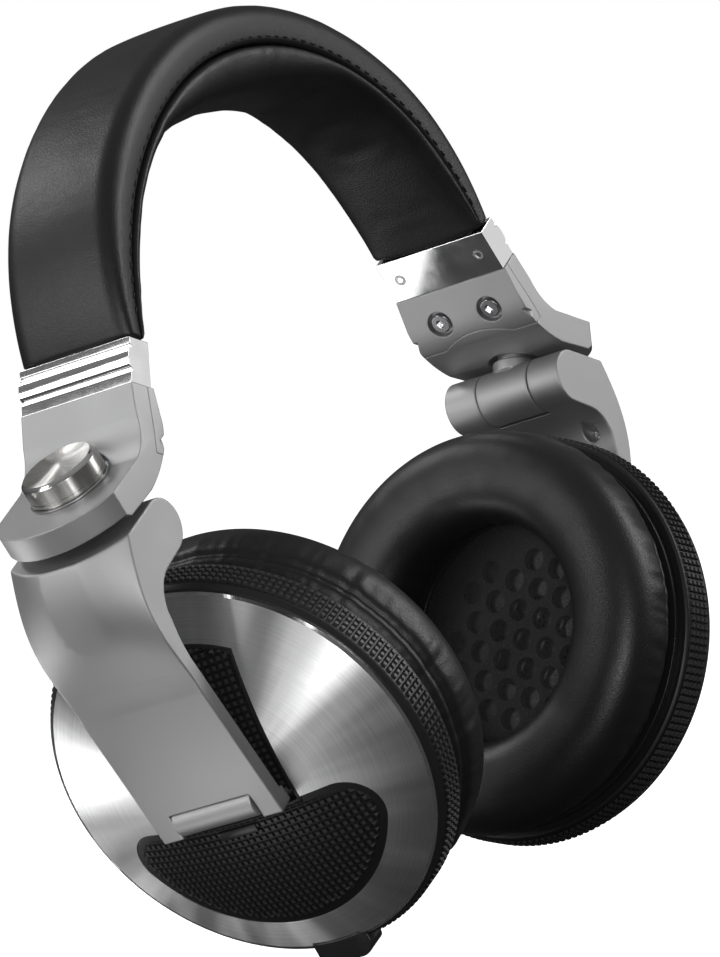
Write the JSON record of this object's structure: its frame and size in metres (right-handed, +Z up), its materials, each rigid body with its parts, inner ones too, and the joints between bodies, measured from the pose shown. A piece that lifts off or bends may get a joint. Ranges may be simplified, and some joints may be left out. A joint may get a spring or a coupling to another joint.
{
  "type": "over ear headphones",
  "caption": "Closed over-ear headphones with a padded headband, sliding and swivelling housings, folding hanger arms and tilting round cups with soft ear pads.",
  "frame": {"origin": "midway between the two cups, level with the centres of their grip rings: the middle of the head that wears them", "axes": "+X towards the right cup, +Y the way the wearer faces, +Z up to the headband"},
  "size_m": [0.2274, 0.096, 0.2136],
  "materials": {
    "satin_silver": "satin silver paint",
    "chrome": "polished",
    "knob_metal": "turned and polished edge",
    "polished_steel": "bright",
    "screw_steel": "machined",
    "spring_steel": "brushed",
    "guide_plastic": "matte",
    "brushed_metal": "circular brushing",
    "texture_black": "fine pyramids",
    "black_plastic": "satin",
    "driver_metal": "plated",
    "membrane": "thin film",
    "black_leather": "soft grain",
    "black_mesh": "fine mesh",
    "black_rubber": "matte"
  },
  "bodies": {
    "headband": {"headband_core": "spring_steel", "headband_cover": "black_leather", "headband_cushion": "black_leather", "collar_screws": "screw_steel", "left_collar": "chrome", "right_collar": "chrome", "left_slide_guide": "guide_plastic", "right_slide_guide": "guide_plastic"},
    "left_slider": {"left_slide_blade": "spring_steel", "left_housing": "satin_silver", "left_housing_cover": "satin_silver", "left_housing_screws": "screw_steel"},
    "left_swivel": {"left_swivel_yoke": "polished_steel", "left_swivel_washer": "chrome", "left_knob": "knob_metal"},
    "left_arm": {"left_arm": "satin_silver", "left_arm_screw": "screw_steel", "left_fold_pin": "polished_steel", "left_tilt_pin": "polished_steel"},
    "left_cup": {"left_dome": "brushed_metal", "left_lower_inlay": "texture_black", "left_upper_inlay": "texture_black", "left_cup_bracket": "polished_steel", "left_cup_shell": "black_plastic", "left_grip_ring": "texture_black", "left_baffle": "black_plastic", "left_driver_motor": "driver_metal", "left_diaphragm": "membrane", "left_pad_ring": "black_plastic", "left_ear_pad": "black_leather", "left_speaker_mesh": "black_mesh", "left_cup_screws": "screw_steel", "left_cable_inlet": "black_rubber", "left_socket_sleeve": "screw_steel"},
    "right_slider": {"right_slide_blade": "spring_steel", "right_housing": "satin_silver", "right_housing_cover": "satin_silver", "right_housing_screws": "screw_steel"},
    "right_swivel": {"right_swivel_yoke": "polished_steel", "right_swivel_washer": "chrome", "right_knob": "knob_metal"},
    "right_arm": {"right_arm": "satin_silver", "right_arm_screw": "screw_steel", "right_fold_pin": "polished_steel", "right_tilt_pin": "polished_steel"},
    "right_cup": {"right_dome": "brushed_metal", "right_lower_inlay": "texture_black", "right_upper_inlay": "texture_black", "right_cup_bracket": "polished_steel", "right_cup_shell": "black_plastic", "right_grip_ring": "texture_black", "right_baffle": "black_plastic", "right_driver_motor": "driver_metal", "right_diaphragm": "membrane", "right_pad_ring": "black_plastic", "right_ear_pad": "black_leather", "right_speaker_mesh": "black_mesh", "right_cup_screws": "screw_steel"}
  },
  "joints": [
    {"name": "left_slide", "type": "slide", "parent": "headband", "child": "left_slider", "axis": [-0.3987, 0, -0.9171], "range_m": [0, 0.028]},
    {"name": "left_swivel_turn", "type": "hinge", "parent": "left_slider", "child": "left_swivel", "pos_m": [-0.09, 0, 0.0547], "axis": [-0.3827, 0, 0.9239], "range_deg": [-90, 90]},
    {"name": "left_fold", "type": "hinge", "parent": "left_swivel", "child": "left_arm", "pos_m": [-0.09, 0, 0.0547], "axis": [0, 1, 0], "range_deg": [-58, 0]},
    {"name": "left_tilt", "type": "hinge", "parent": "left_arm", "child": "left_cup", "pos_m": [-0.0806, 0, -0.0093], "axis": [0, 1, 0], "range_deg": [-8, 8]},
    {"name": "right_slide", "type": "slide", "parent": "headband", "child": "right_slider", "axis": [0.3987, 0, -0.9171], "range_m": [0, 0.028]},
    {"name": "right_swivel_turn", "type": "hinge", "parent": "right_slider", "child": "right_swivel", "pos_m": [0.09, 0, 0.0547], "axis": [0.3827, 0, 0.9239], "range_deg": [-90, 90]},
    {"name": "right_fold", "type": "hinge", "parent": "right_swivel", "child": "right_arm", "pos_m": [0.09, 0, 0.0547], "axis": [0, 1, 0], "range_deg": [0, 58]},
    {"name": "right_tilt", "type": "hinge", "parent": "right_arm", "child": "right_cup", "pos_m": [0.0806, 0, -0.0093], "axis": [0, 1, 0], "range_deg": [-8, 8]}
  ]
}
